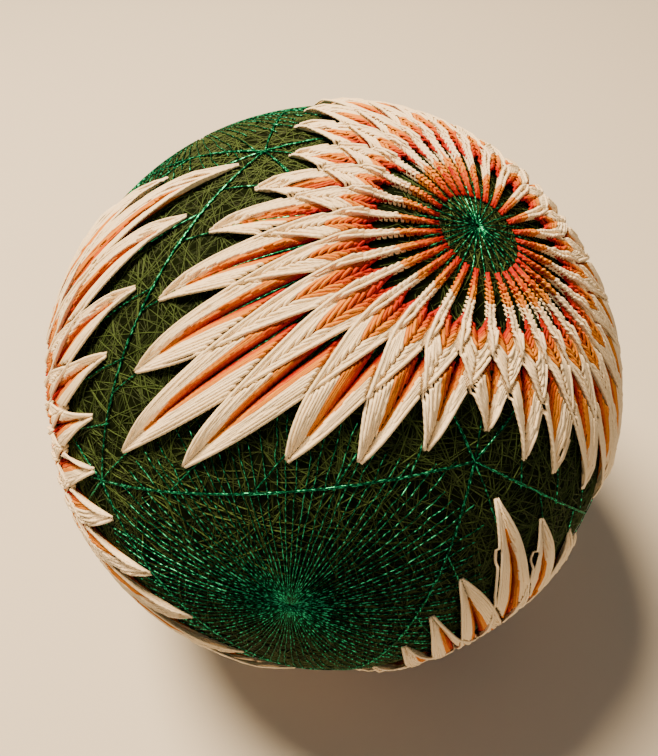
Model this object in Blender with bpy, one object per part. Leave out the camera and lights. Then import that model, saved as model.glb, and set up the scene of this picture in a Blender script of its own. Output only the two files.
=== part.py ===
"""A temari: a ball wound with fine thread, with four chrysanthemum flowers stitched over it.

The ball rests on a small flat spot, whose centre is the origin, with +Z up. Its marking threads
divide it as an icosahedron is divided. Each flower is centred on one of the twenty faces and
reaches over the three faces beside it, so its thirty petals are short towards the three near
corners and long towards the three far ones. The three other flowers are the first one turned half
a turn about each of three crossed axes. Each flower is modelled as the raised layer that its
stitches make: a thin domed star with a round opening over its centre. The petals that reach under
the ball are pressed level with the flat spot.
"""

import math

import bmesh
import bpy
from mathutils import Euler, Vector

# The wound ball, in metres.
BALL_RADIUS = 0.060
FLAT_SPOT_RADIUS = 0.0085
BALL_SEGMENTS = 44
BALL_RINGS = 28
CENTRE_HEIGHT = math.sqrt(BALL_RADIUS**2 - FLAT_SPOT_RADIUS**2)

# How the ball is turned where it lies, as rotations about X, then Y, then Z.
BALL_TURN_DEG = (78.2, -34.2, 56.5)

# The stitched layer: its clearance over the ball's facets, and its thickness at the braids and tips.
LAYER_LIFT = 0.00075
BRAID_THICKNESS = 0.0015
TIP_THICKNESS = 0.0006

# Angles seen from the ball's centre. A petal's line runs from the flower's centre to a mark.
OPENING_ANGLE = math.radians(8.2)
LINE_TURNS_DEG = (0.0, 15.0, 28.0, 39.5, 50.0, 60.0)
LOBES = 3
TIP_SHARE = 0.905
NOTCH_SHARE = 0.665
RING_STEPS = 4
LONGEST_STEP = math.radians(9.0)

# Two corners of the icosahedron and the face centre that the first flower is drawn about.
GOLDEN = (1 + math.sqrt(5)) / 2
NEAR_CORNER = Vector((0, 1, GOLDEN)).normalized()
FAR_CORNER = Vector((0, -1, GOLDEN)).normalized()
FLOWER_CENTRE = Vector((1, 1, 1)).normalized()

# Each flower, and the axis of the half turn that brings the first one to its place.
FLOWER_AXES = {"flower_top": None, "flower_left": 1, "flower_low": 2, "flower_back": 0}

# A block under the level of the flat spot, which the petals there are pressed to.
UNDER_SIZE = 0.20

THREAD_GREEN = (0.045, 0.085, 0.030, 1.0)
THREAD_CREAM = (0.86, 0.80, 0.70, 1.0)


def clear_scene():
    for obj in list(bpy.data.objects):
        bpy.data.objects.remove(obj, do_unlink=True)


def thread_material(name, colour):
    material = bpy.data.materials.new(name)
    material.use_nodes = True
    shader = material.node_tree.nodes["Principled BSDF"]
    shader.inputs["Base Color"].default_value = colour
    shader.inputs["Roughness"].default_value = 0.8
    shader.inputs["Metallic"].default_value = 0.0
    return material


def add_object(name, bm, material):
    mesh = bpy.data.meshes.new(name)
    bm.to_mesh(mesh)
    bm.free()
    mesh.materials.append(material)
    mesh.shade_smooth()
    obj = bpy.data.objects.new(name, mesh)
    bpy.context.scene.collection.objects.link(obj)
    return obj


def wound_ball(material):
    """The ball of wound thread, cut off level where it rests."""
    bm = bmesh.new()
    bmesh.ops.create_uvsphere(
        bm, u_segments=BALL_SEGMENTS, v_segments=BALL_RINGS, radius=BALL_RADIUS
    )
    bmesh.ops.translate(bm, verts=bm.verts, vec=(0, 0, CENTRE_HEIGHT))
    cut = bmesh.ops.bisect_plane(
        bm,
        geom=bm.verts[:] + bm.edges[:] + bm.faces[:],
        plane_co=(0, 0, 0),
        plane_no=(0, 0, 1),
        clear_inner=True,
    )
    rim = [item for item in cut["geom_cut"] if isinstance(item, bmesh.types.BMEdge)]
    bmesh.ops.contextual_create(bm, geom=rim)
    bmesh.ops.recalc_face_normals(bm, faces=bm.faces)
    obj = add_object("wound_ball", bm, material)
    obj.data.set_sharp_from_angle(angle=math.radians(30))
    return obj


def flower_axes():
    """Two directions square to the flower's centre: towards the near corner, and a quarter turn on."""
    towards = NEAR_CORNER - NEAR_CORNER.dot(FLOWER_CENTRE) * FLOWER_CENTRE
    towards.normalize()
    return towards, FLOWER_CENTRE.cross(towards)


def direction(turn, angle):
    """The direction at this angle from the flower's centre, on the line turned by turn."""
    towards, across = flower_axes()
    outward = math.cos(turn) * towards + math.sin(turn) * across
    return math.cos(angle) * FLOWER_CENTRE + math.sin(angle) * outward


def mark_angle(turn):
    """How far out the marking thread lies on a line, for a turn of 0 to 60 degrees from a near corner."""
    towards, across = flower_axes()
    square = NEAR_CORNER.cross(FAR_CORNER)
    outward = math.cos(turn) * towards + math.sin(turn) * across
    return math.atan2(-square.dot(FLOWER_CENTRE), square.dot(outward)) % math.pi


def half_lobe(share, turns):
    return [(turn, share * mark_angle(turn)) for turn in turns]


def around(half):
    """The (turn, angle) pairs of half a lobe, mirrored and repeated right round the flower."""
    lobe = [(-turn, angle) for turn, angle in reversed(half)] + half
    pairs = []
    for number in range(LOBES):
        start = number * math.tau / LOBES
        for turn, angle in lobe:
            place = (start + turn, angle)
            if not pairs or place[0] - pairs[-1][0] > 1e-6:
                pairs.append(place)
    if pairs[-1][0] - pairs[0][0] > math.tau - 1e-6:
        pairs.pop()
    return pairs


def petal_outline():
    """The tips and the notches round the flower, in order: a tip, then the notch after it."""
    turns = [math.radians(value) for value in LINE_TURNS_DEG]
    between = [(a + b) / 2 for a, b in zip(turns, turns[1:])]
    tips = around(half_lobe(TIP_SHARE, turns))
    notches = around(half_lobe(NOTCH_SHARE, between))
    return tips, notches


def flower_sheet():
    """The star as a sheet on the ball, with each point's share of the full thickness."""
    tips, notches = petal_outline()
    bm = bmesh.new()
    shares = []

    def point(turn, angle, share):
        shares.append(share)
        return bm.verts.new((BALL_RADIUS + LAYER_LIFT) * direction(turn, angle))

    thin = TIP_THICKNESS / BRAID_THICKNESS
    spokes = []
    for number, (turn, _) in enumerate(tips):
        before, after = notches[number - 1], notches[number]
        shoulder = (before[1] + after[1]) / 2
        for spoke_turn, reach in ((turn, shoulder), after):
            span = reach - OPENING_ANGLE
            steps = [OPENING_ANGLE + span * i / RING_STEPS for i in range(RING_STEPS + 1)]
            spokes.append([point(spoke_turn, angle, 1.0) for angle in steps])
    for number, spoke in enumerate(spokes):
        for inner, outer in zip(zip(spokes[number - 1], spoke), zip(spokes[number - 1][1:], spoke[1:])):
            bm.faces.new((inner[0], outer[0], outer[1], inner[1]))

    for number, (turn, reach) in enumerate(tips):
        before, after = notches[number - 1], notches[number]
        shoulder = (before[1] + after[1]) / 2
        before_turn = before[0] - math.tau * (before[0] > turn + 1)
        after_turn = after[0] + math.tau * (after[0] < turn - 1)
        steps = max(1, math.ceil((reach - min(before[1], after[1])) / LONGEST_STEP))
        last = [spokes[2 * number - 1][-1], spokes[2 * number][-1], spokes[2 * number + 1][-1]]
        tip = point(turn, reach, thin)
        for step in range(1, steps):
            done = step / steps
            share = 1 + (thin - 1) * done
            row = [
                point(
                    start[0] + (turn - start[0]) * done**1.5,
                    start[1] + (reach - start[1]) * done,
                    share,
                )
                for start in ((before_turn, before[1]), (turn, shoulder), (after_turn, after[1]))
            ]
            for side in (0, 1):
                bm.faces.new((last[side], row[side], row[side + 1], last[side + 1]))
            last = row
        for side in (0, 1):
            bm.faces.new((last[side], tip, last[side + 1]))
    bmesh.ops.recalc_face_normals(bm, faces=bm.faces)
    bm.faces.ensure_lookup_table()
    if bm.faces[0].normal.dot(bm.faces[0].calc_center_median()) < 0:
        bmesh.ops.reverse_faces(bm, faces=bm.faces)
    return bm, shares


def under_block():
    """A guide that takes off what would reach below the flat spot."""
    bm = bmesh.new()
    bmesh.ops.create_cube(bm, size=UNDER_SIZE)
    bmesh.ops.translate(bm, verts=bm.verts, vec=(0, 0, -UNDER_SIZE / 2))
    mesh = bpy.data.meshes.new("under_block")
    bm.to_mesh(mesh)
    bm.free()
    obj = bpy.data.objects.new("under_block", mesh)
    obj.hide_render = True
    obj.display_type = "WIRE"
    bpy.context.scene.collection.objects.link(obj)
    return obj


def stitched_flower(name, half_turn_axis, material, turned_ball, under):
    bm, shares = flower_sheet()
    obj = add_object(name, bm, material)
    raised = obj.vertex_groups.new(name="raised")
    for index, share in enumerate(shares):
        raised.add([index], share, "REPLACE")
    layer = obj.modifiers.new("stitched layer", "SOLIDIFY")
    layer.thickness = BRAID_THICKNESS
    layer.offset = 1.0
    layer.vertex_group = raised.name
    layer.use_rim = True
    pressed = obj.modifiers.new("pressed level", "BOOLEAN")
    pressed.operation = "DIFFERENCE"
    pressed.object = under
    obj.parent = turned_ball
    if half_turn_axis is not None:
        obj.rotation_euler[half_turn_axis] = math.pi
    return obj


def main():
    clear_scene()
    turned_ball = bpy.data.objects.new("turned_ball", None)
    turned_ball.location = (0, 0, CENTRE_HEIGHT)
    turned_ball.rotation_euler = Euler([math.radians(value) for value in BALL_TURN_DEG])
    bpy.context.scene.collection.objects.link(turned_ball)
    wound_ball(thread_material("wound green thread", THREAD_GREEN))
    cream = thread_material("stitched cream thread", THREAD_CREAM)
    under = under_block()
    for name, half_turn_axis in FLOWER_AXES.items():
        stitched_flower(name, half_turn_axis, cream, turned_ball, under)


main()
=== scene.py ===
"""The looks of a temari: a ball wound with fine green thread and stitched with four chrysanthemums.

Lengths are in metres. The angles of the pattern are in degrees, seen from the ball's centre.
"""

import math

import bmesh
import bpy
import numpy as np
from mathutils import Euler, Matrix, Vector


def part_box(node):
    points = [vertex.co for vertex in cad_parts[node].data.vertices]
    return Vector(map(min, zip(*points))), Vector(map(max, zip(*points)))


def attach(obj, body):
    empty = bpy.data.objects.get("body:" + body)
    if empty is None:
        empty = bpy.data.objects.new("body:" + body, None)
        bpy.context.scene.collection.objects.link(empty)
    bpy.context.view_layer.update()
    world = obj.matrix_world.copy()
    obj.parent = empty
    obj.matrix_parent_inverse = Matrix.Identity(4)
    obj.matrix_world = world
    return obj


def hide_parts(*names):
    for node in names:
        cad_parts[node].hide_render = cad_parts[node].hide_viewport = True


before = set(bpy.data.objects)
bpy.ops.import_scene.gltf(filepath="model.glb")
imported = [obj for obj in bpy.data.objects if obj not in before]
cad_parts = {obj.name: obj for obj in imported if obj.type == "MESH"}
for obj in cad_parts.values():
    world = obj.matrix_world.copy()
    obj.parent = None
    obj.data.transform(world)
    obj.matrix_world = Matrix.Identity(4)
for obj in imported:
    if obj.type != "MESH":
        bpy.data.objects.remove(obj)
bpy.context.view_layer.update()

# The wound ball
# A light core padded with yarn and wound with olive-green sewing thread until nothing else shows.
# This is its surface under the last layer of thread, pressed flat where the ball rests.
MM = 0.001
ball_low, ball_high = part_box("wound_ball")
BALL_RADIUS = (ball_high.x - ball_low.x) / 2
BALL_CENTRE = np.array((0.0, 0.0, ball_high.z - BALL_RADIUS))
GROUND_DEPTH = 0.30 * MM
GROUND_SEGMENTS = 128
GROUND_RINGS = 72
FLAT_LIFT = 0.05 * MM
# Painted shade: the ground under the winding is coloured near black, as the shade between the threads
# over it.
SHADED_GROUND_GREEN = "#0a0f07"
SHADED_GROUND_OLIVE = "#12190b"
GROUND_PATCH = 7.0 * MM
GROUND_BAND = 1.1 * MM
GROUND_RELIEF = 0.15 * MM
SMOOTH_TO = 30
rng = np.random.default_rng(11)


def linear(hex_colour):
    """The sRGB hex colour as linear red, green, blue and alpha."""
    parts = [int(hex_colour[i : i + 2], 16) / 255 for i in (1, 3, 5)]
    return [c / 12.92 if c <= 0.04045 else ((c + 0.055) / 1.055) ** 2.4 for c in parts] + [1.0]


def new_material(name, colour, roughness, **sockets):
    """A material whose shader has these constants, and its node tree and shader."""
    material = bpy.data.materials.new(name)
    material.use_nodes = True
    tree = material.node_tree
    shader = tree.nodes["Principled BSDF"]
    shader.inputs["Base Color"].default_value = linear(colour)
    shader.inputs["Roughness"].default_value = roughness
    for socket, value in sockets.items():
        shader.inputs[socket.replace("_", " ")].default_value = value
    return material, tree, shader


def add_node(tree, kind, settings=None, links=None, **values):
    """A node of this kind, with its settings, its sockets' values and what feeds them."""
    node = tree.nodes.new(kind)
    for name, value in (settings or {}).items():
        setattr(node, name, value)
    for name, value in values.items():
        node.inputs[name.replace("_", " ")].default_value = value
    for name, source in (links or {}).items():
        tree.links.new(source, node.inputs[name])
    return node


def deselect():
    bpy.ops.object.select_all(action="DESELECT")


def finish_piece(obj, slot, *nodes):
    """The piece's place goes into its mesh, and it rides on the ball."""
    deselect()
    obj.select_set(True)
    bpy.context.view_layer.objects.active = obj
    bpy.ops.object.transform_apply(location=True, rotation=True, scale=True)
    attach(obj, "root")
    if nodes:
        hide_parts(*nodes)


# Matt spun sewing thread, wound under all the rest and coloured near black as painted shade between
# the threads over it. The bands of its relief are five threads wide, since single ones are too fine to
# show.
ground_material, tree, shader = new_material(
    "wound sewing thread, ground in painted shade", SHADED_GROUND_GREEN, 0.95, Specular_IOR_Level=0.0
)
place = add_node(tree, "ShaderNodeTexCoord").outputs["Object"]
patch = add_node(
    tree, "ShaderNodeTexNoise", links={"Vector": place}, Scale=1 / GROUND_PATCH, Detail=3.0
)
colour = add_node(tree, "ShaderNodeMix", {"data_type": "RGBA"}, {"Factor": patch.outputs["Fac"]})
colour.inputs["A"].default_value = linear(SHADED_GROUND_GREEN)
colour.inputs["B"].default_value = linear(SHADED_GROUND_OLIVE)
tree.links.new(colour.outputs["Result"], shader.inputs["Base Color"])
lay = add_node(
    tree, "ShaderNodeTexNoise", links={"Vector": place}, Scale=1 / GROUND_BAND, Detail=2.0
)
bump = add_node(tree, "ShaderNodeBump", links={"Height": lay.outputs["Fac"]}, Strength=0.5)
bump.inputs["Distance"].default_value = GROUND_RELIEF
tree.links.new(bump.outputs["Normal"], shader.inputs["Normal"])

deselect()
bpy.ops.mesh.primitive_uv_sphere_add(
    segments=GROUND_SEGMENTS,
    ring_count=GROUND_RINGS,
    radius=BALL_RADIUS - GROUND_DEPTH,
    location=BALL_CENTRE,
)
ball = bpy.context.object
ball.name = "ball_ground"
bpy.ops.object.transform_apply(location=True)
bpy.ops.object.mode_set(mode="EDIT")
bpy.ops.mesh.select_all(action="SELECT")
bpy.ops.mesh.bisect(
    plane_co=(0, 0, FLAT_LIFT), plane_no=(0, 0, 1), clear_inner=True, use_fill=True
)
bpy.ops.object.mode_set(mode="OBJECT")
bpy.ops.object.shade_smooth_by_angle(angle=math.radians(SMOOTH_TO))
ball.data.materials.append(ground_material)
finish_piece(ball, "green_thread", "wound_ball")

# The layout of the pattern
# The ball is divided as an icosahedron is. The first flower is centred on one face, and the others
# are that flower turned half a turn about three crossed axes. The four faces opposite them are bare.
BALL_TURN_DEG = (78.2, -34.2, 56.5)
GOLDEN = (1 + math.sqrt(5)) / 2
LINE_TURNS = (0.0, 15.0, 28.0, 39.5, 50.0, 60.0)
LOBES = 3
FLOWER_AXES = {"flower_top": None, "flower_left": "Y", "flower_low": "Z", "flower_back": "X"}

ball_turn = np.array(Euler([math.radians(v) for v in BALL_TURN_DEG]).to_matrix())


def unit(vectors):
    vectors = np.asarray(vectors, float)
    return vectors / np.linalg.norm(vectors, axis=-1, keepdims=True)


FLOWER_CENTRE = unit((1, 1, 1))
NEAR_CORNER = unit((0, 1, GOLDEN))
FAR_CORNER = unit((0, -1, GOLDEN))


class Pole:
    """A direction on the ball, with the two directions square to it that angles are turned from."""

    def __init__(self, centre, reference):
        self.centre = unit(centre)
        self.towards = unit(reference - np.dot(reference, self.centre) * self.centre)
        self.across = np.cross(self.centre, self.towards)

    def direction(self, turn, angle):
        """The directions at these angles from the pole, on lines turned by these turns, in degrees."""
        turn, angle = np.radians(turn)[..., None], np.radians(angle)[..., None]
        outward = np.cos(turn) * self.towards + np.sin(turn) * self.across
        return np.cos(angle) * self.centre + np.sin(angle) * outward

    def plane(self, directions):
        """Flat places of directions: the angle from the pole, laid out along the turn, in degrees."""
        along, side = directions @ self.towards, directions @ self.across
        angle = np.degrees(np.arccos(np.clip(directions @ self.centre, -1, 1)))
        reach = np.maximum(np.hypot(along, side), 1e-9)
        return np.stack((angle * along / reach, angle * side / reach), axis=-1)


flower_pole = Pole(FLOWER_CENTRE, NEAR_CORNER)


def mark_angle(turn):
    """How far out the marking thread lies on a line turned by 0 to 60 degrees from a near corner."""
    square = np.cross(NEAR_CORNER, FAR_CORNER)
    outward = math.cos(math.radians(turn)) * flower_pole.towards
    outward = outward + math.sin(math.radians(turn)) * flower_pole.across
    return math.degrees(math.atan2(-square @ FLOWER_CENTRE, square @ outward) % math.pi)


line_turns, line_kinds = [], []
for lobe in range(LOBES):
    for kind in (0, 1, 2, 3, 4, 5, 4, 3, 2, 1):
        rising = len(line_turns) % 10 <= 5
        turn = LINE_TURNS[kind] if rising else 120 - LINE_TURNS[kind]
        line_turns.append(120 * lobe + turn)
        line_kinds.append(kind)
line_turns = np.array(line_turns)
line_kinds = np.array(line_kinds)
line_marks = np.array([mark_angle(LINE_TURNS[kind]) for kind in line_kinds])


def half_turn(axis):
    """The half turn about an axis of the pattern, as a matrix, and no turn for the first flower."""
    return np.array(Matrix.Rotation(math.pi, 3, axis)) if axis else np.identity(3)


def to_world(directions, heights, turn=None):
    """Points at these heights over the ball, from directions in the pattern's own frame."""
    directions = directions if turn is None else directions @ turn.T
    return BALL_CENTRE + (directions @ ball_turn.T) * (BALL_RADIUS + np.asarray(heights))[..., None]


# The stitched threads
# Each flower is thirty lines of overlapped herringbone stitch in soft twisted cotton. A row goes out
# from its own line to the tip on the next one, and back. Fourteen rows lie side by side, from red
# inside to cream outside, and each row's stitch draws the ones before it into a braid on the line.
ROWS = 14
MIDDLE_ROW = 7
# How far out the first row's stitch lies, and the last row's: a base, and a share of the line's mark.
FIRST_STITCH = 7.3
LAST_STITCH_BASE = 11.6
LAST_STITCH_SHARE = 0.1306
FIRST_CROSSING_PAST = 0.9
# For lines of kind 0 to 5: how far out the last row crosses its own line, and each row's tip lies.
LAST_CROSSING = (20.4, 21.0, 22.4, 24.4, 26.8, 28.6)
TIP_FIRST = (21.8, 25.0, 28.0, 37.0, 46.5, 57.5)
TIP_MIDDLE = (29.0, 32.2, 37.4, 45.6, 55.2, 64.5)
TIP_LAST = (32.6, 37.2, 42.6, 50.6, 61.0, 71.0)
# Between lines of kind 0 and 1, and so on: how far out the first, middle and last rows cross.
BETWEEN_FIRST = (18.2, 18.8, 19.8, 21.4, 22.4)
BETWEEN_MIDDLE = (21.0, 22.8, 25.2, 28.4, 32.4)
BETWEEN_LAST = (25.8, 29.0, 33.6, 38.8, 46.6)
# By how much a petal is longer than the rule makes it, and how far aside its tip strays.
STRAYS = {
    "flower_top": {
        0: (0.0, 1.2), 1: (0.4, 0.4), 2: (-0.8, -1.2), 20: (0.0, 0.4), 21: (-1.2, 0.7),
        22: (0.0, -0.3), 23: (1.8, -0.2), 24: (-0.5, -0.4), 25: (-0.8, -0.8), 26: (0.2, -1.4),
        27: (-2.0, 0.8), 28: (0.0, 1.2), 29: (0.0, 0.8),
    },
    "flower_left": {
        15: (0.0, 2.0), 16: (0.0, 2.5), 17: (1.5, 3.0), 18: (2.3, 2.3), 19: (1.0, 2.4),
        20: (3.0, 1.5), 21: (0.8, 1.6), 22: (1.8, 2.1), 23: (2.0, 2.0), 24: (3.3, 1.4),
        25: (3.5, -2.0), 26: (1.0, -2.5),
    },
    "flower_low": {
        3: (-0.4, -0.5), 4: (0.0, 0.3), 5: (0.4, -1.6), 6: (-1.0, -0.5), 7: (3.5, -2.5), 8: (4.5, -3.5),
    },
    "flower_back": {},
}
STRAY_AT_BOW = 0.65
# How far each thread wanders at its stitch, between the lines, and at its tip.
WANDER = (0.06, 0.08, 0.14)
# Where a thread runs beside its line before it leaves it, and how full its bow is near the tip.
BRAID_HALF_WIDTHS = (0.30, 0.62)
GATHER_AT = 0.70
GATHER_FIRST = 0.25
GATHER_LAST = 0.97
CROSSING_GROWTH = 0.75
BOW_FROM_TIP = 0.28
BOW_FIRST = 0.27
BOW_LAST = (0.32, 0.34, 0.39, 0.44, 0.48, 0.48)
NUB = -0.20
# The opening of a flower sewn by hand is a little off its centre.
OFF_CENTRE = (1.1, 0.5)
OFF_CENTRE_REACH = 25.0
THREAD_WIDTH = 0.64 * MM
THREAD_LAID = 0.32 * MM
THREAD_ABOVE = 0.6
SAMPLES = 200
SEGMENTS = 25500
STRAIGHT_SEGMENT = 2.2 * MM
BENT_SEGMENT = 0.025 * MM
# The pile is felt out on a grid of cells laid over the flower, each thread a few cells wide.
CELL = 0.125
PLANE_HALF = 84.0
FOOT_CELLS = 2
FOOT_DROP = 0.3
SPREADING = 6
SOFTENED_CELLS = 3
LEAST_COVERED = 0.01
PILE_FREE = 0.75 * MM
PILE_MORE = 1.0 * MM
LOWEST_SHARE = 0.9
DEEPEST = 1.0 * MM
HELD_DOWN = 4
# Along a thread, by sample from its stitch to its tip: what share of the pile's height it keeps.
KEPT_AT = (0, 6, 170, 194, 199)
KEPT = (0.5, 1.0, 1.0, 0.55, 0.45)


def through(first, middle, last, share):
    """A smooth value that is first at 0, middle at the middle row's share and last at 1."""
    m = (MIDDLE_ROW - 1) / (ROWS - 1)
    bend = ((middle - first) / m - (last - first)) / (m - 1)
    return first + (last - first - bend) * share + bend * share**2


def smooth_line(points, count):
    """Points along the natural cubic curve through the given ones."""
    points = np.asarray(points, float)
    steps = np.linalg.norm(np.diff(points, axis=0), axis=1)
    at = np.concatenate(([0.0], np.cumsum(steps)))
    size = len(points)
    left, right = np.identity(size), np.zeros(points.shape)
    for i in range(1, size - 1):
        left[i, i - 1 : i + 2] = (steps[i - 1], 2 * (steps[i - 1] + steps[i]), steps[i])
        slopes = (points[i + 1] - points[i]) / steps[i] - (points[i] - points[i - 1]) / steps[i - 1]
        right[i] = 6 * slopes
    bends = np.linalg.solve(left, right)
    where = np.linspace(0, at[-1], count)
    span = np.clip(np.searchsorted(at, where) - 1, 0, size - 2)
    h = steps[span][:, None]
    b = ((where - at[span])[:, None]) / h
    a = 1 - b
    curve = a * points[span] + b * points[span + 1]
    return curve + ((a**3 - a) * bends[span] + (b**3 - b) * bends[span + 1]) * h**2 / 6


def polar(turn, angle, aside=0.0):
    """A place in the flower's plane, on the line turned by turn, and aside from it."""
    turn = math.radians(turn)
    along = np.array((math.cos(turn), math.sin(turn)))
    return angle * along + aside * np.array((-along[1], along[0]))


def stitch_path(line, side, row, wander, longer, aside):
    """One thread from its stitch on its own line to its tip on the next line of that side."""
    share = (row - 1) / (ROWS - 1)
    kind = line_kinds[line]
    following = (line + side) % len(line_turns)
    there = line_kinds[following]
    turn = line_turns[line]
    next_turn = line_turns[following] + 360 * round((turn + 10 * side - line_turns[following]) / 360)
    last_stitch = LAST_STITCH_BASE + LAST_STITCH_SHARE * line_marks[line]
    stitch = FIRST_STITCH + (last_stitch - FIRST_STITCH) * share
    past = FIRST_CROSSING_PAST
    past += (LAST_CROSSING[kind] - last_stitch - FIRST_CROSSING_PAST) * share**CROSSING_GROWTH
    pair = min(kind, there)
    between = through(BETWEEN_FIRST[pair], BETWEEN_MIDDLE[pair], BETWEEN_LAST[pair], share)
    tip = through(TIP_FIRST[there], TIP_MIDDLE[there], TIP_LAST[there], share)
    grown = tip / TIP_LAST[there]
    wide = BRAID_HALF_WIDTHS[0] + (BRAID_HALF_WIDTHS[1] - BRAID_HALF_WIDTHS[0]) * share
    start = polar(turn, stitch + wander[0], -side * wide)
    crossing = polar(turn, stitch + past + wander[0])
    middle = polar((turn + next_turn) / 2, between + wander[1])
    own, off = polar(turn, 1.0), polar(turn, 0.0, 1.0)
    gather = GATHER_FIRST + (GATHER_LAST - GATHER_FIRST) * share
    leaving = crossing + GATHER_AT * (middle - crossing)
    leaving = (leaving @ own) * own + gather * (leaving @ off) * off
    reach = tip + grown * longer[following] + wander[2]
    stray = grown * aside[following]
    end = polar(next_turn, reach, side * NUB + stray)
    along, beside = polar(next_turn, 1.0), polar(next_turn, 0.0, 1.0)
    bow = BOW_FIRST + (BOW_LAST[there] - BOW_FIRST) * share
    bowed = polar(
        next_turn,
        reach + BOW_FROM_TIP * (middle @ along - reach),
        bow * (middle @ beside) + STRAY_AT_BOW * stray,
    )
    return smooth_line([start, crossing, leaving, middle, bowed, end], SAMPLES)


def softened(grid, cells):
    """The grid averaged three times over squares this many cells to each side."""
    size = 2 * cells + 1
    for _ in range(3):
        for axis in (0, 1):
            pad = [(0, 0), (0, 0)]
            pad[axis] = (cells + 1, cells)
            total = np.cumsum(np.pad(grid, pad), axis=axis)
            ends = np.take(total, range(size, total.shape[axis]), axis=axis)
            grid = (ends - np.take(total, range(total.shape[axis] - size), axis=axis)) / size
    return grid


def cells_of(xy):
    return np.rint((xy + PLANE_HALF) / CELL).astype(int)


def eased(line):
    """Heights along each thread, with every one but the ends averaged with its neighbours."""
    line = line.copy()
    line[:, 1:-1] = (line[:, :-2] + 2 * line[:, 1:-1] + line[:, 2:]) / 4
    return line


def lay_flower(strays):
    """Every thread of a flower in the order it is stitched: plane places, heights and rows."""
    longer, aside = np.zeros(len(line_turns)), np.zeros(len(line_turns))
    for line, (more, off) in strays.items():
        longer[line], aside[line] = more, off
    cells = int(2 * PLANE_HALF / CELL)
    surface = np.zeros((cells, cells))
    near = range(-FOOT_CELLS, FOOT_CELLS + 1)
    foot = np.array([(i, j) for i in near for j in near if i * i + j * j <= FOOT_CELLS**2 + 1])
    drop = FOOT_DROP * THREAD_LAID * (foot**2).sum(axis=1) / FOOT_CELLS**2
    lines = range(len(line_turns))
    places, tops, rows = [], [], []
    for row in range(1, ROWS + 1):
        for side in (-1, 1):
            wander = rng.normal(0, WANDER, (len(line_turns), len(WANDER)))
            xy = np.array([stitch_path(k, side, row, wander[k], longer, aside) for k in lines])
            at = cells_of(xy)
            i, j = at[..., 0, None] + foot[:, 0], at[..., 1, None] + foot[:, 1]
            under = surface[i, j].max(axis=-1)
            under[:, 0] = under[:, -1] = 0.0
            rest = under
            for _ in range(SPREADING):
                rest = np.maximum(eased(rest), under)
            rest = eased(rest) + THREAD_LAID
            np.maximum.at(surface, (i, j), rest[..., None] - drop)
            places.append(xy)
            tops.append(rest)
            rows.append(np.full(len(line_turns), row))
    places, tops = np.concatenate(places), np.concatenate(tops)
    at = cells_of(places)
    buried = np.maximum(surface[at[..., 0], at[..., 1]] - tops, 0)
    spread = np.pad(buried, ((0, 0), (HELD_DOWN, HELD_DOWN)))
    buried = eased(np.max([spread[:, i : i + SAMPLES] for i in range(2 * HELD_DOWN + 1)], axis=0))
    covered = softened((surface > 0).astype(float), SOFTENED_CELLS)
    pile = softened(surface, SOFTENED_CELLS) / np.maximum(covered, LEAST_COVERED)
    more = PILE_MORE * (1 - np.exp(-np.maximum(pile - PILE_FREE, 0) / PILE_MORE))
    pile = np.minimum(pile, PILE_FREE) + covered * more
    pile = pile[at[..., 0], at[..., 1]] * np.interp(np.arange(SAMPLES), KEPT_AT, KEPT)
    tops = eased(np.maximum(pile - np.minimum(buried, DEEPEST), LOWEST_SHARE * THREAD_LAID))
    off_centre = np.exp(-(places**2).sum(axis=-1) / OFF_CENTRE_REACH**2)
    places += off_centre[..., None] * np.array(OFF_CENTRE)
    return places, tops, np.concatenate(rows)


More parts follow.
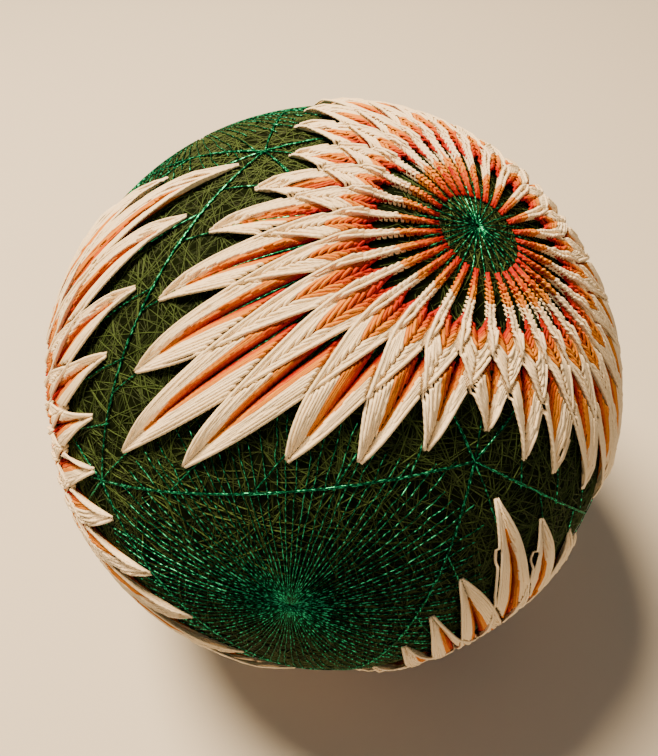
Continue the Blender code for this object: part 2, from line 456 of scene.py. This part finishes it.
def thread_mesh(name, threads, half_width, over, under, materials, kinds=None, painted_depth_shade=None):
    """One mesh of closed three-sided threads. Each thread is its points and the ups at them."""
    points, quads, caps, uvs, cap_count, slots, shades = [], [], [], [], 0, [], []
    first = 0
    for number, (line, up) in enumerate(threads):
        along = np.gradient(line, axis=0)
        side = unit(np.cross(unit(along), up))
        below = line - up * under
        edges = (line + up * over, below + side * half_width, below - side * half_width)
        ring = np.stack(edges, axis=1)
        ring[..., 2] = np.maximum(ring[..., 2], FLAT_LIFT)
        count = len(line)
        points.append(ring.reshape(-1, 3))
        base = first + 3 * np.arange(count - 1)[:, None]
        steps = np.linalg.norm(np.diff(line, axis=0), axis=1)
        reach = np.concatenate(([0.0], np.cumsum(steps))) / MM
        for edge in range(3):
            after = (edge + 1) % 3
            quads.append(np.hstack((base + edge, base + after, base + 3 + after, base + 3 + edge)))
            u0, u1 = reach[:-1], reach[1:]
            v0, v1 = np.full(count - 1, edge / 3), np.full(count - 1, (edge + 1) / 3)
            uvs.append(np.stack((u0, v0, u0, v1, u1, v1, u1, v0), axis=1))
            slots.append(np.full(count - 1, 0 if kinds is None else kinds[number]))
        end = first + 3 * (count - 1)
        caps += [(first + 2, first + 1, first), (end, end + 1, end + 2)]
        shades.append(np.full(3 * count, rng.random() if painted_depth_shade is None else painted_depth_shade[number]))
        first += 3 * count
    quads, uvs, slots = np.concatenate(quads), np.concatenate(uvs), np.concatenate(slots)
    caps = np.array(caps)
    cap_slots = np.repeat(np.zeros(len(threads), int) if kinds is None else np.asarray(kinds), 2)
    mesh = bpy.data.meshes.new(name)
    mesh.vertices.add(first)
    mesh.vertices.foreach_set("co", np.concatenate(points).astype(np.float32).ravel())
    corners = np.concatenate((quads.ravel(), caps.ravel()))
    mesh.loops.add(len(corners))
    mesh.loops.foreach_set("vertex_index", corners.astype(np.int32))
    starts = np.concatenate((4 * np.arange(len(quads)), 4 * len(quads) + 3 * np.arange(len(caps))))
    mesh.polygons.add(len(starts))
    mesh.polygons.foreach_set("loop_start", starts.astype(np.int32))
    mesh.polygons.foreach_set("material_index", np.concatenate((slots, cap_slots)).astype(np.int32))
    mesh.update(calc_edges=True)
    layer = mesh.uv_layers.new(name="thread")
    flat = np.zeros((len(corners), 2), np.float32)
    flat[: 4 * len(quads)] = uvs.reshape(-1, 2)
    layer.data.foreach_set("uv", flat.ravel())
    shade = mesh.attributes.new("shade", "FLOAT", "POINT")
    shade.data.foreach_set("value", np.concatenate(shades).astype(np.float32))
    mesh.shade_smooth()
    for material in materials:
        mesh.materials.append(material)
    obj = bpy.data.objects.new(name, mesh)
    bpy.context.scene.collection.objects.link(obj)
    return obj


PLIES = 2.0
PLY_RELIEF = 0.12 * MM


def thread_material(name, colour, roughness, pale, twist_pitch, **sockets):
    """Twisted thread: each length a little lighter or darker, with the slant of its plies."""
    material, tree, shader = new_material(name, colour, roughness, **sockets)
    shade = add_node(tree, "ShaderNodeAttribute", {"attribute_name": "shade"}).outputs["Fac"]
    mix = add_node(tree, "ShaderNodeMix", {"data_type": "RGBA"}, {"Factor": shade})
    mix.inputs["A"].default_value = linear(colour)
    mix.inputs["B"].default_value = linear(pale)
    tree.links.new(mix.outputs["Result"], shader.inputs["Base Color"])
    uv = add_node(tree, "ShaderNodeUVMap", {"uv_map": "thread"}).outputs["UV"]
    slant = add_node(tree, "ShaderNodeMapping", links={"Vector": uv})
    slant.inputs["Scale"].default_value = (1 / twist_pitch, PLIES, 1.0)
    plies = add_node(
        tree,
        "ShaderNodeTexWave",
        {"bands_direction": "DIAGONAL", "wave_profile": "SIN"},
        {"Vector": slant.outputs["Vector"]},
        Scale=0.5,
    )
    bump = add_node(tree, "ShaderNodeBump", links={"Height": plies.outputs["Fac"]}, Strength=0.35)
    bump.inputs["Distance"].default_value = PLY_RELIEF
    tree.links.new(bump.outputs["Normal"], shader.inputs["Normal"])
    return material


# Pearl cotton: mercerised, soft and loosely twisted, so each laid row shows as a fine ridge with a
# faint slant along it. Each colour's lengths vary between the two shades.
COTTONS = {
    "vermilion pearl cotton": ("#9c0a00", "#ae1200"),
    "red-orange pearl cotton": ("#ac2802", "#ba3202"),
    "orange pearl cotton": ("#bc4c04", "#ca5a08"),
    "light orange pearl cotton": ("#d27c18", "#de8c2a"),
    "cream pearl cotton": ("#f8e4c0", "#fdeccf"),
}
ROW_COTTONS = (0, 1, 2, 2, 3, 3, 3) + 7 * (4,)
cottons = [
    thread_material(name, colour, 0.7, pale, 0.9, Specular_IOR_Level=0.12)
    for name, (colour, pale) in COTTONS.items()
]


def resampled(line, weights, count):
    """This many points along the line, closer together where the weights are larger."""
    at = np.concatenate(([0.0], np.cumsum(weights)))
    where = np.linspace(0, at[-1], count)
    return np.stack([np.interp(where, at, line[:, axis]) for axis in range(line.shape[1])], axis=1)


def flower_threads(places, tops, turn):
    """The flower's threads as points in space and ups, with more points where a thread bends."""
    angle = np.hypot(places[..., 0], places[..., 1])
    directions = flower_pole.direction(np.degrees(np.arctan2(places[..., 1], places[..., 0])), angle)
    lines = to_world(directions, tops - THREAD_LAID * THREAD_ABOVE, turn)
    steps = np.linalg.norm(np.diff(lines, axis=1), axis=2)
    bends = np.linalg.norm(np.diff(lines, 2, axis=1), axis=2)
    weights = steps / STRAIGHT_SEGMENT
    weights[:, 1:] += bends / BENT_SEGMENT / 2
    weights[:, :-1] += bends / BENT_SEGMENT / 2
    shares = weights.sum(axis=1)
    counts = np.maximum(8, np.rint(shares * SEGMENTS / shares.sum()).astype(int))
    threads = [resampled(line, w, count + 1) for line, w, count in zip(lines, weights, counts)]
    return [(line, unit(line - BALL_CENTRE)) for line in threads]


for name, axis in FLOWER_AXES.items():
    plane_places, stitch_tops, stitch_rows = lay_flower(STRAYS[name])
    flower = thread_mesh(
        "stitched_" + name,
        flower_threads(plane_places, stitch_tops, half_turn(axis)),
        THREAD_WIDTH / 2,
        THREAD_ABOVE * THREAD_LAID,
        (1 - THREAD_ABOVE) * THREAD_LAID,
        cottons,
        np.array(ROW_COTTONS)[stitch_rows - 1],
    )
    finish_piece(flower, "stitched_thread", name)

# The winding
# Olive-green sewing thread wound at random round and round the ball, over a hundred metres of it,
# so that great circles cross everywhere. What the flowers hide is left out.
WINDINGS = 640
WINDING_WIDTH = 0.21 * MM
WINDING_OVER = 0.10 * MM
WINDING_UNDER = 0.08 * MM
LAYER_DEEP = 0.16 * MM
LAYER_BELOW = 0.10 * MM
WINDING_STEPS = 36
WINDING_OFF = 0.12
HIDDEN_FROM = 11.0
HIDDEN_SHARE = 0.50
ANY_DIRECTION = (0.3, 0.5, 0.8)
SHADED = 1.5


def hidden_by_flowers(directions, from_angle=HIDDEN_FROM, share=HIDDEN_SHARE):
    """Which of these directions in the pattern's frame lie well under a flower's stitches."""
    hidden = np.zeros(len(directions), bool)
    for axis in FLOWER_AXES.values():
        place = flower_pole.plane(directions @ half_turn(axis))
        angle = np.hypot(place[:, 0], place[:, 1])
        turn = np.degrees(np.arctan2(place[:, 1], place[:, 0])) % 120
        turn = np.minimum(turn, 120 - turn)
        reach = share * np.interp(turn, LINE_TURNS, [mark_angle(t) for t in LINE_TURNS])
        hidden |= (angle > from_angle) & (angle < reach)
    return hidden


def seen_runs(hidden):
    """The first and last index of each run that is seen, with one hidden place at each end."""
    seen = np.concatenate(([False], ~hidden, [False])).astype(int)
    edges = np.diff(seen)
    starts, ends = np.flatnonzero(edges == 1), np.flatnonzero(edges == -1)
    last = len(hidden) - 1
    return [(max(a - 1, 0), min(b, last)) for a, b in zip(starts, ends)]


def wound_threads(below):
    """Runs of great circles with the ups along them, and how light each is painted: darker the deeper
    it lies below the layer's top, as painted shade.
    """
    threads, painted_depth_shade = [], []
    around = np.linspace(0, math.tau, WINDING_STEPS + 1)
    for axis in unit(rng.normal(size=(WINDINGS, 3))):
        first = unit(np.cross(axis, ANY_DIRECTION))
        start = rng.uniform(0, math.tau)
        off = rng.uniform(-WINDING_OFF, WINDING_OFF)
        ring = np.cos(around + start)[:, None] * first
        ring = unit(ring + np.sin(around + start)[:, None] * np.cross(axis, first) + off * axis)
        depth = rng.random()
        for a, b in seen_runs(hidden_by_flowers(ring)):
            if b - a >= 2:
                height = np.full(b + 1 - a, -depth * LAYER_DEEP - below)
                line = to_world(ring[a : b + 1], height)
                threads.append((line, unit(line - BALL_CENTRE)))
                # Painted shade: the deeper a thread lies, the darker it is coloured.
                painted_depth_shade.append((1 - depth) ** SHADED)
    return threads, painted_depth_shade


# Mercerised sewing thread, two fine plies, dull with a faint gloss along its upper side. What lies
# deeper is painted darker as the shade of the layers over it, and the under layer is the same thread
# painted in shade.
for name, below, dark, pale in (
    ("winding_under", LAYER_BELOW + LAYER_DEEP, "#0a1006", "#212c13"),
    ("winding_over", LAYER_BELOW, "#1f2c12", "#445a2b"),
):
    sewing = thread_material(name + " sewing thread", dark, 0.7, pale, 0.6, Specular_IOR_Level=0.2)
    wound, painted_depth_shade = wound_threads(below)
    winding = thread_mesh(
        name,
        wound,
        WINDING_WIDTH / 2,
        WINDING_OVER,
        WINDING_UNDER,
        [sewing],
        painted_depth_shade=painted_depth_shade,
    )
    finish_piece(winding, "green_thread")

# The marking threads
# Emerald metallic thread that divides the ball before it is stitched: along the edges of the
# icosahedron, from each flower's centre out along its lines, and in a full sunburst of rays on each
# of the four faces that no flower covers. A flat foil is wound round a dark core, and its glints are
# painted into its colour.
MARKING_WIDTH = 0.30 * MM
RAY_WIDTH = 0.22 * MM
MARKING_LIFT = 0.10 * MM
RAY_LIFT = 0.07 * MM
LIFTS = (0.6, 1.0)
STRAND_APART = 0.16 * MM
STRAND_WOBBLE = 0.04 * MM
SPOKE_WOBBLE = 0.05 * MM
# A spoke's first place, how far it runs past the mark, its step, and the stretch under the stitches.
SPOKE_FROM = 0.4
SPOKE_PAST = 1.5
SPOKE_STEP = 2.0
SPOKE_UNDER = (10.0, 24.0)
UNDER_FROM = 24.0
UNDER_SHARE = 0.42
# Corners with a cosine over this share an edge.
EDGE_COSINE = 0.4
RAYS = 98
RAY_FROM = 0.3
RAY_STEP = 2.2
RAY_LENGTHS = (30.0, 37.0)
# How far a ray is turned aside: as a whole, at each place, and at the face's centre.
RAY_ASIDE = 0.55
RAY_WANDER = 0.3
RAY_MISS = 1.5
# Along the foil: how far apart two threads' patterns lie, and the painted glints to a millimetre.
FOIL_APART = 900.0
PAINTED_GLINTS = 1.5


# Metallised film slit into a narrow foil and wound on a core: dark green, with short mint glints
# painted into its colour at random along the thread.
def foil_material():
    material, tree, shader = new_material(
        "emerald metallic thread", "#063524", 0.42, Metallic=0.7, Specular_Tint=linear("#1c8a60")
    )
    uv = add_node(tree, "ShaderNodeUVMap", {"uv_map": "thread"}).outputs["UV"]
    shade = add_node(tree, "ShaderNodeAttribute", {"attribute_name": "shade"}).outputs["Fac"]
    apart = add_node(tree, "ShaderNodeMath", {"operation": "MULTIPLY"}, {0: shade})
    apart.inputs[1].default_value = FOIL_APART
    own = apart.outputs["Value"]
    moved = add_node(tree, "ShaderNodeCombineXYZ", links={"X": own, "Y": own})
    links = {0: uv, 1: moved.outputs["Vector"]}
    place = add_node(tree, "ShaderNodeVectorMath", {"operation": "ADD"}, links)
    links = {"Vector": place.outputs["Vector"]}
    painted_glint = add_node(tree, "ShaderNodeTexNoise", links=links, Scale=PAINTED_GLINTS, Detail=1.0)
    # Painted glints: where the noise is high, the foil is coloured bright mint.
    ramp = add_node(tree, "ShaderNodeValToRGB", links={"Fac": painted_glint.outputs["Fac"]})
    stops = ramp.color_ramp.elements
    stops[0].position, stops[0].color = 0.40, linear("#04261a")
    stops[1].position, stops[1].color = 0.54, linear("#0b6043")
    painted_glint_colour = stops.new(0.66)
    painted_glint_colour.color = linear("#4deab4")
    tree.links.new(ramp.outputs["Color"], shader.inputs["Base Color"])
    return material


foil = foil_material()


def arc(start, end, step=2.0):
    """Directions along the shorter arc between two directions, about step degrees apart."""
    angle = math.acos(np.clip(start @ end, -1, 1))
    count = max(2, int(math.degrees(angle) / step)) + 1
    t = np.linspace(0, 1, count)[:, None]
    return (np.sin((1 - t) * angle) * start + np.sin(t * angle) * end) / math.sin(angle)


def strands(path, apart, count, wobble):
    """The path as this many strands side by side, each wandering a little."""
    found = []
    for number in range(count):
        aside = np.cross(np.gradient(path, axis=0), path)
        off = (number - (count - 1) / 2) * apart + rng.normal(0, wobble, (len(path), 1))
        found.append(unit(path + unit(aside) * off / BALL_RADIUS))
    return found


corners = []
for a in (-1, 1):
    for b in (-1, 1):
        corners += [unit((0, a, b * GOLDEN)), unit((a, b * GOLDEN, 0)), unit((b * GOLDEN, 0, a))]
marking = []
for i, one in enumerate(corners):
    for other in corners[:i]:
        if one @ other > EDGE_COSINE:
            marking += strands(arc(one, other), STRAND_APART, 2, STRAND_WOBBLE)
rays = []
for axis in FLOWER_AXES.values():
    turned = half_turn(axis)
    for turn, mark in zip(line_turns, line_marks):
        reach = np.arange(SPOKE_FROM, mark + SPOKE_PAST, SPOKE_STEP)
        path = flower_pole.direction(np.full(len(reach), turn), reach) @ turned.T
        for a, b in seen_runs((reach > SPOKE_UNDER[0]) & (reach < SPOKE_UNDER[1])):
            marking += strands(path[a : b + 1], STRAND_APART, 1, SPOKE_WOBBLE)
    bare = Pole(-(turned @ FLOWER_CENTRE), turned @ NEAR_CORNER)
    turns = np.arange(RAYS) * 360 / RAYS + rng.normal(0, RAY_ASIDE, RAYS)
    for turn in turns:
        reach = np.arange(RAY_FROM, rng.uniform(*RAY_LENGTHS), RAY_STEP)
        wobble = turn + rng.normal(0, RAY_WANDER, len(reach))
        wobble += rng.normal(0, RAY_MISS) / reach.clip(1.0)
        rays.append(bare.direction(wobble, reach))


def marking_piece(name, paths, width, lift):
    threads = []
    for path in paths:
        for a, b in seen_runs(hidden_by_flowers(path, UNDER_FROM, UNDER_SHARE)):
            if b - a >= 1:
                line = to_world(path[a : b + 1], rng.uniform(*LIFTS, b + 1 - a) * lift)
                threads.append((line, unit(line - BALL_CENTRE)))
    piece = thread_mesh(name, threads, width / 2, WINDING_OVER, WINDING_UNDER, [foil])
    finish_piece(piece, "green_thread")


marking_piece("marking_threads", marking, MARKING_WIDTH, MARKING_LIFT)
marking_piece("face_rays", rays, RAY_WIDTH, RAY_LIFT)

# The camera
# It looks down on the ball from the photo's angle. It is so near that it sees well under half of the
# ball, as in the photo.
CAMERA_AZIMUTH = 2.6
CAMERA_ELEVATION = 50.7
CAMERA_ROLL = -2.8
CAMERA_DISTANCE = 2.9
FOCAL_PIXELS = 767.0
PICTURE_SIZE = (658, 756)
BALL_PIXEL = (332.5, 386.5)
SENSOR = 36.0 * MM

camera_data = bpy.data.cameras.new("camera")
camera = bpy.data.objects.new("camera", camera_data)
bpy.context.scene.collection.objects.link(camera)
azimuth, elevation = math.radians(CAMERA_AZIMUTH), math.radians(CAMERA_ELEVATION)
towards_camera = Vector((math.sin(azimuth), -math.cos(azimuth), math.tan(elevation))).normalized()
camera.location = Vector(BALL_CENTRE) + CAMERA_DISTANCE * BALL_RADIUS * towards_camera
aim = (-towards_camera).to_track_quat("-Z", "Y")
left = math.atan((PICTURE_SIZE[0] / 2 - BALL_PIXEL[0]) / FOCAL_PIXELS)
up = math.atan((BALL_PIXEL[1] - PICTURE_SIZE[1] / 2) / FOCAL_PIXELS)
nudge = Euler((up, -left, 0)).to_quaternion()
roll = Euler((0, 0, math.radians(CAMERA_ROLL))).to_quaternion()
camera.rotation_euler = (aim @ roll @ nudge).to_euler()
camera_data.sensor_width = SENSOR / MM
camera_data.lens = FOCAL_PIXELS / max(PICTURE_SIZE) * camera_data.sensor_width
camera_data.clip_start = 0.005
bpy.context.scene.camera = camera

# The floor and the light
# A plain pale floor that the ball lies on, a soft warm lamp high up at the left, a weak one low in
# front, and a faint light all round.
FLOOR_SIZE = 4.0
FLOOR_LEVEL = -0.2 * MM
floor_material, tree, shader = new_material("pale floor", "#d9d5ce", 0.8)
deselect()
bpy.ops.mesh.primitive_plane_add(size=FLOOR_SIZE, location=(0, 0, FLOOR_LEVEL))
floor = bpy.context.object
floor.name = "floor"
floor.data.materials.append(floor_material)


def soft_lamp(name, place, size, power, colour):
    data = bpy.data.lights.new(name, "AREA")
    data.shape = "DISK"
    data.size = size
    data.energy = power
    data.color = linear(colour)[:3]
    lamp = bpy.data.objects.new(name, data)
    lamp.location = place
    lamp.rotation_euler = (-Vector(place)).to_track_quat("-Z", "Y").to_euler()
    bpy.context.scene.collection.objects.link(lamp)


soft_lamp("key", (-0.24, 0.16, 0.72), 0.28, 18.5, "#ffdfb2")
soft_lamp("fill", (0.35, -0.75, 0.45), 0.6, 1.4, "#ffdcb0")
world = bpy.data.worlds.new("soft light")
world.use_nodes = True
world.node_tree.nodes["Background"].inputs["Color"].default_value = linear("#e9e4dc")
world.node_tree.nodes["Background"].inputs["Strength"].default_value = 0.13
bpy.context.scene.world = world
